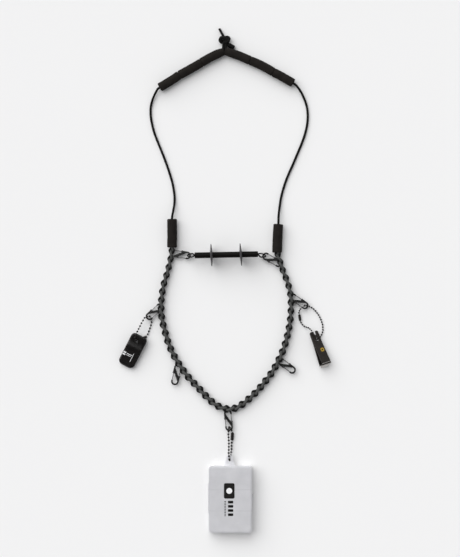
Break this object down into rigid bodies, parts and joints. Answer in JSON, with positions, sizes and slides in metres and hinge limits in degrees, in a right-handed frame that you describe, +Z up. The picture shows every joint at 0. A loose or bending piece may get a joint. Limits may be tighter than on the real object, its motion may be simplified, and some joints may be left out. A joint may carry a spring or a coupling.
{
  "type": "angler's neck lanyard with accessories",
  "caption": "Padded neck loop on a braided lower loop that carries double-gate clips, a tippet bar, a leader straightener, line nippers and a compartment box.",
  "frame": {"origin": "centre of the bounding box in plan, on the surface it lies on", "axes": "+Z up from the surface, +Y towards the crown of the neck loop, +X to the right seen from above"},
  "size_m": [0.2924, 0.6901, 0.0306],
  "materials": {
    "foam": "closed-cell foam, matt",
    "cord": "braided polyester cord",
    "braid_cord": "four-strand braid, grey and black",
    "clip_frame": "gloss black coating",
    "wire_gate": "bright wire",
    "tube": "smooth black",
    "disc": "dark grey foam plastic",
    "hide": "gloss black",
    "pad": "matt rubber",
    "chain": "black oxide",
    "nipper_metal": "dark satin coating",
    "bright_metal": "bright",
    "frosted": "frosted translucent"
  },
  "bodies": {
    "lanyard": {"braid": "braid_cord", "neck_cord_left": "cord", "neck_cord_right": "cord", "crown_knot": "cord", "upper_sleeve_left_1": "foam", "upper_sleeve_left_2": "foam", "upper_sleeve_left_3": "foam", "upper_sleeve_right_1": "foam", "upper_sleeve_right_2": "foam", "upper_sleeve_right_3": "foam", "lower_sleeve_left": "foam", "lower_sleeve_right": "foam", "splice_left": "cord", "splice_right": "cord"},
    "clip_bar_left": {"clip_bar_left_frame": "clip_frame"},
    "clip_bar_left_gate_inner": {"clip_bar_left_gate_inner": "wire_gate"},
    "clip_bar_left_gate_outer": {"clip_bar_left_gate_outer": "wire_gate"},
    "clip_bar_right": {"clip_bar_right_frame": "clip_frame"},
    "clip_bar_right_gate_inner": {"clip_bar_right_gate_inner": "wire_gate"},
    "clip_bar_right_gate_outer": {"clip_bar_right_gate_outer": "wire_gate"},
    "clip_upper_left": {"clip_upper_left_frame": "clip_frame"},
    "clip_upper_left_gate_inner": {"clip_upper_left_gate_inner": "wire_gate"},
    "clip_upper_left_gate_outer": {"clip_upper_left_gate_outer": "wire_gate"},
    "clip_lower_left": {"clip_lower_left_frame": "clip_frame"},
    "clip_lower_left_gate_inner": {"clip_lower_left_gate_inner": "wire_gate"},
    "clip_lower_left_gate_outer": {"clip_lower_left_gate_outer": "wire_gate"},
    "clip_bottom": {"clip_bottom_frame": "clip_frame"},
    "clip_bottom_gate_inner": {"clip_bottom_gate_inner": "wire_gate"},
    "clip_bottom_gate_outer": {"clip_bottom_gate_outer": "wire_gate"},
    "clip_lower_right": {"clip_lower_right_frame": "clip_frame"},
    "clip_lower_right_gate_inner": {"clip_lower_right_gate_inner": "wire_gate"},
    "clip_lower_right_gate_outer": {"clip_lower_right_gate_outer": "wire_gate"},
    "clip_upper_right": {"clip_upper_right_frame": "clip_frame"},
    "clip_upper_right_gate_inner": {"clip_upper_right_gate_inner": "wire_gate"},
    "clip_upper_right_gate_outer": {"clip_upper_right_gate_outer": "wire_gate"},
    "tippet_bar": {"tippet_tube": "tube", "tippet_cord": "cord"},
    "spool_disc_left": {"spool_disc_left": "disc"},
    "spool_disc_right": {"spool_disc_right": "disc"},
    "straightener_chain": {"straightener_chain": "chain", "straightener_connector": "chain"},
    "straightener": {"straightener_back": "hide", "straightener_liner_back": "pad"},
    "straightener_flap": {"straightener_front": "hide", "straightener_liner_front": "pad"},
    "nipper_chain": {"nipper_chain": "chain", "nipper_connector": "chain"},
    "nipper": {"nipper_lower_leaf": "nipper_metal", "nipper_rivet": "bright_metal"},
    "nipper_upper_leaf": {"nipper_upper_leaf": "nipper_metal"},
    "box_chain": {"box_chain": "chain", "box_connector": "chain"},
    "box": {"box_tray": "frosted", "box_hinge_pin": "bright_metal"},
    "box_lid": {"box_lid": "frosted"}
  },
  "joints": [
    {"name": "clip_bar_left_swing", "type": "hinge", "parent": "lanyard", "child": "clip_bar_left", "pos_m": [-0.0702, 0.0375, 0.0048], "axis": [0, 0, 1], "range_deg": [-6, 6]},
    {"name": "clip_bar_right_swing", "type": "hinge", "parent": "lanyard", "child": "clip_bar_right", "pos_m": [0.0732, 0.0235, 0.0048], "axis": [0, 0, 1], "range_deg": [-2.2, 2.2]},
    {"name": "clip_upper_left_swing", "type": "hinge", "parent": "lanyard", "child": "clip_upper_left", "pos_m": [-0.0888, -0.0365, 0.0048], "axis": [0, 0, 1], "range_deg": [-12, 12]},
    {"name": "clip_lower_left_swing", "type": "hinge", "parent": "lanyard", "child": "clip_lower_left", "pos_m": [-0.064, -0.1197, 0.0048], "axis": [0, 0, 1], "range_deg": [-12, 12]},
    {"name": "clip_bottom_swing", "type": "hinge", "parent": "lanyard", "child": "clip_bottom", "pos_m": [0.0044, -0.182, 0.0048], "axis": [0, 0, 1], "range_deg": [-12, 12]},
    {"name": "clip_lower_right_swing", "type": "hinge", "parent": "lanyard", "child": "clip_lower_right", "pos_m": [0.0773, -0.111, 0.0048], "axis": [0, 0, 1], "range_deg": [-12, 12]},
    {"name": "clip_upper_right_swing", "type": "hinge", "parent": "lanyard", "child": "clip_upper_right", "pos_m": [0.0942, -0.0233, 0.0048], "axis": [0, 0, 1], "range_deg": [-5, 12]},
    {"name": "tippet_bar_swing", "type": "hinge", "parent": "clip_bar_left", "child": "tippet_bar", "pos_m": [-0.05149, 0.0342, 0.0048], "axis": [0, 0, 1], "range_deg": [-7, 7]},
    {"name": "spool_disc_left_slide", "type": "slide", "parent": "tippet_bar", "child": "spool_disc_left", "axis": [0.9998, 0.0197, 0], "range_m": [-0.014, 0.016]},
    {"name": "spool_disc_right_slide", "type": "slide", "parent": "tippet_bar", "child": "spool_disc_right", "axis": [0.9998, 0.0197, 0], "range_m": [-0.018, 0.014]},
    {"name": "straightener_chain_swing", "type": "hinge", "parent": "clip_upper_left", "child": "straightener_chain", "pos_m": [-0.10292, -0.04921, 0.0048], "axis": [0, 0, 1], "range_deg": [-10, 10]},
    {"name": "straightener_swing", "type": "hinge", "parent": "straightener_chain", "child": "straightener", "pos_m": [-0.1212, -0.0825, 0.0064], "axis": [-0.034, -0.0668, 0.9972], "range_deg": [-12, 12]},
    {"name": "straightener_squeeze", "type": "hinge", "parent": "straightener", "child": "straightener_flap", "pos_m": [-0.13501, -0.11445, 0.00559], "axis": [-0.891, 0.454, 0], "range_deg": [0, 2.2], "stiffness_Nm_per_rad": 0.6, "springref_deg": -0.57},
    {"name": "nipper_chain_swing", "type": "hinge", "parent": "clip_upper_right", "child": "nipper_chain", "pos_m": [0.10976, -0.0342, 0.0048], "axis": [0, 0, 1], "range_deg": [-5, 10]},
    {"name": "nipper_swing", "type": "hinge", "parent": "nipper_chain", "child": "nipper", "pos_m": [0.127, -0.0806, 0.0062], "axis": [0, 0, 1], "range_deg": [-12, 15]},
    {"name": "nipper_squeeze", "type": "hinge", "parent": "nipper", "child": "nipper_upper_leaf", "pos_m": [0.12823, -0.08331, 0.007], "axis": [0.8709, 0.2766, -0.4061], "range_deg": [0, 1.6], "stiffness_Nm_per_rad": 1.2, "springref_deg": -1.15},
    {"name": "box_chain_swing", "type": "hinge", "parent": "clip_bottom", "child": "box_chain", "pos_m": [0.00606, -0.20093, 0.0048], "axis": [0, 0, 1], "range_deg": [-10, 10]},
    {"name": "box_swing", "type": "hinge", "parent": "box_chain", "child": "box", "pos_m": [0.0067, -0.2459, 0.0074], "axis": [0, 0, 1], "range_deg": [-12, 12]},
    {"name": "box_lid_open", "type": "hinge", "parent": "box", "child": "box_lid", "pos_m": [-0.0214, -0.3, 0.0087], "axis": [0, -1, 0], "range_deg": [0, 170]},
    {"name": "clip_bar_left_gate_inner_open", "type": "hinge", "parent": "clip_bar_left", "child": "clip_bar_left_gate_inner", "pos_m": [-0.05796, 0.03955, 0.0048], "axis": [0, 0, 1], "range_deg": [0, 20], "stiffness_Nm_per_rad": 0.004, "springref_deg": -8.59},
    {"name": "clip_bar_left_gate_outer_open", "type": "hinge", "parent": "clip_bar_left", "child": "clip_bar_left_gate_outer", "pos_m": [-0.06373, 0.03214, 0.0048], "axis": [0, 0, 1], "range_deg": [0, 20], "stiffness_Nm_per_rad": 0.004, "springref_deg": -8.59},
    {"name": "clip_bar_right_gate_inner_open", "type": "hinge", "parent": "clip_bar_right", "child": "clip_bar_right_gate_inner", "pos_m": [0.06098, 0.02569, 0.0048], "axis": [0, 0, 1], "range_deg": [0, 20], "stiffness_Nm_per_rad": 0.004, "springref_deg": -8.59},
    {"name": "clip_bar_right_gate_outer_open", "type": "hinge", "parent": "clip_bar_right", "child": "clip_bar_right_gate_outer", "pos_m": [0.06892, 0.03072, 0.0048], "axis": [0, 0, 1], "range_deg": [0, 20], "stiffness_Nm_per_rad": 0.004, "springref_deg": -8.59},
    {"name": "clip_upper_left_gate_inner_open", "type": "hinge", "parent": "clip_upper_left", "child": "clip_upper_left_gate_inner", "pos_m": [-0.10027, -0.04124, 0.0048], "axis": [0, 0, -1], "range_deg": [0, 20], "stiffness_Nm_per_rad": 0.004, "springref_deg": -8.59},
    {"name": "clip_upper_left_gate_outer_open", "type": "hinge", "parent": "clip_upper_left", "child": "clip_upper_left_gate_outer", "pos_m": [-0.09145, -0.04447, 0.0048], "axis": [0, 0, -1], "range_deg": [0, 20], "stiffness_Nm_per_rad": 0.004, "springref_deg": -8.59},
    {"name": "clip_lower_left_gate_inner_open", "type": "hinge", "parent": "clip_lower_left", "child": "clip_lower_left_gate_inner", "pos_m": [-0.06246, -0.13202, 0.0048], "axis": [0, 0, 1], "range_deg": [0, 20], "stiffness_Nm_per_rad": 0.004, "springref_deg": -8.59},
    {"name": "clip_lower_left_gate_outer_open", "type": "hinge", "parent": "clip_lower_left", "child": "clip_lower_left_gate_outer", "pos_m": [-0.06962, -0.12594, 0.0048], "axis": [0, 0, 1], "range_deg": [0, 20], "stiffness_Nm_per_rad": 0.004, "springref_deg": -8.59},
    {"name": "clip_bottom_gate_inner_open", "type": "hinge", "parent": "clip_bottom", "child": "clip_bottom_gate_inner", "pos_m": [0.00955, -0.19329, 0.0048], "axis": [0, 0, 1], "range_deg": [0, 20], "stiffness_Nm_per_rad": 0.004, "springref_deg": -8.59},
    {"name": "clip_bottom_gate_outer_open", "type": "hinge", "parent": "clip_bottom", "child": "clip_bottom_gate_outer", "pos_m": [0.0009, -0.18963, 0.0048], "axis": [0, 0, 1], "range_deg": [0, 20], "stiffness_Nm_per_rad": 0.004, "springref_deg": -8.59},
    {"name": "clip_lower_right_gate_inner_open", "type": "hinge", "parent": "clip_lower_right", "child": "clip_lower_right_gate_inner", "pos_m": [0.08911, -0.11483, 0.0048], "axis": [0, 0, 1], "range_deg": [0, 20], "stiffness_Nm_per_rad": 0.004, "springref_deg": -8.59},
    {"name": "clip_lower_right_gate_outer_open", "type": "hinge", "parent": "clip_lower_right", "child": "clip_lower_right_gate_outer", "pos_m": [0.08056, -0.11874, 0.0048], "axis": [0, 0, 1], "range_deg": [0, 20], "stiffness_Nm_per_rad": 0.004, "springref_deg": -8.59},
    {"name": "clip_upper_right_gate_inner_open", "type": "hinge", "parent": "clip_upper_right", "child": "clip_upper_right_gate_inner", "pos_m": [0.10616, -0.02661, 0.0048], "axis": [0, 0, 1], "range_deg": [0, 20], "stiffness_Nm_per_rad": 0.004, "springref_deg": -8.59},
    {"name": "clip_upper_right_gate_outer_open", "type": "hinge", "parent": "clip_upper_right", "child": "clip_upper_right_gate_outer", "pos_m": [0.0978, -0.03089, 0.0048], "axis": [0, 0, 1], "range_deg": [0, 20], "stiffness_Nm_per_rad": 0.004, "springref_deg": -8.59}
  ],
  "couplings": [
    {"joint": "tippet_bar_swing", "follows": "clip_bar_left_swing", "ratio": -1.1238},
    {"joint": "clip_bar_right_swing", "follows": "clip_bar_left_swing", "ratio": -0.3233}
  ]
}
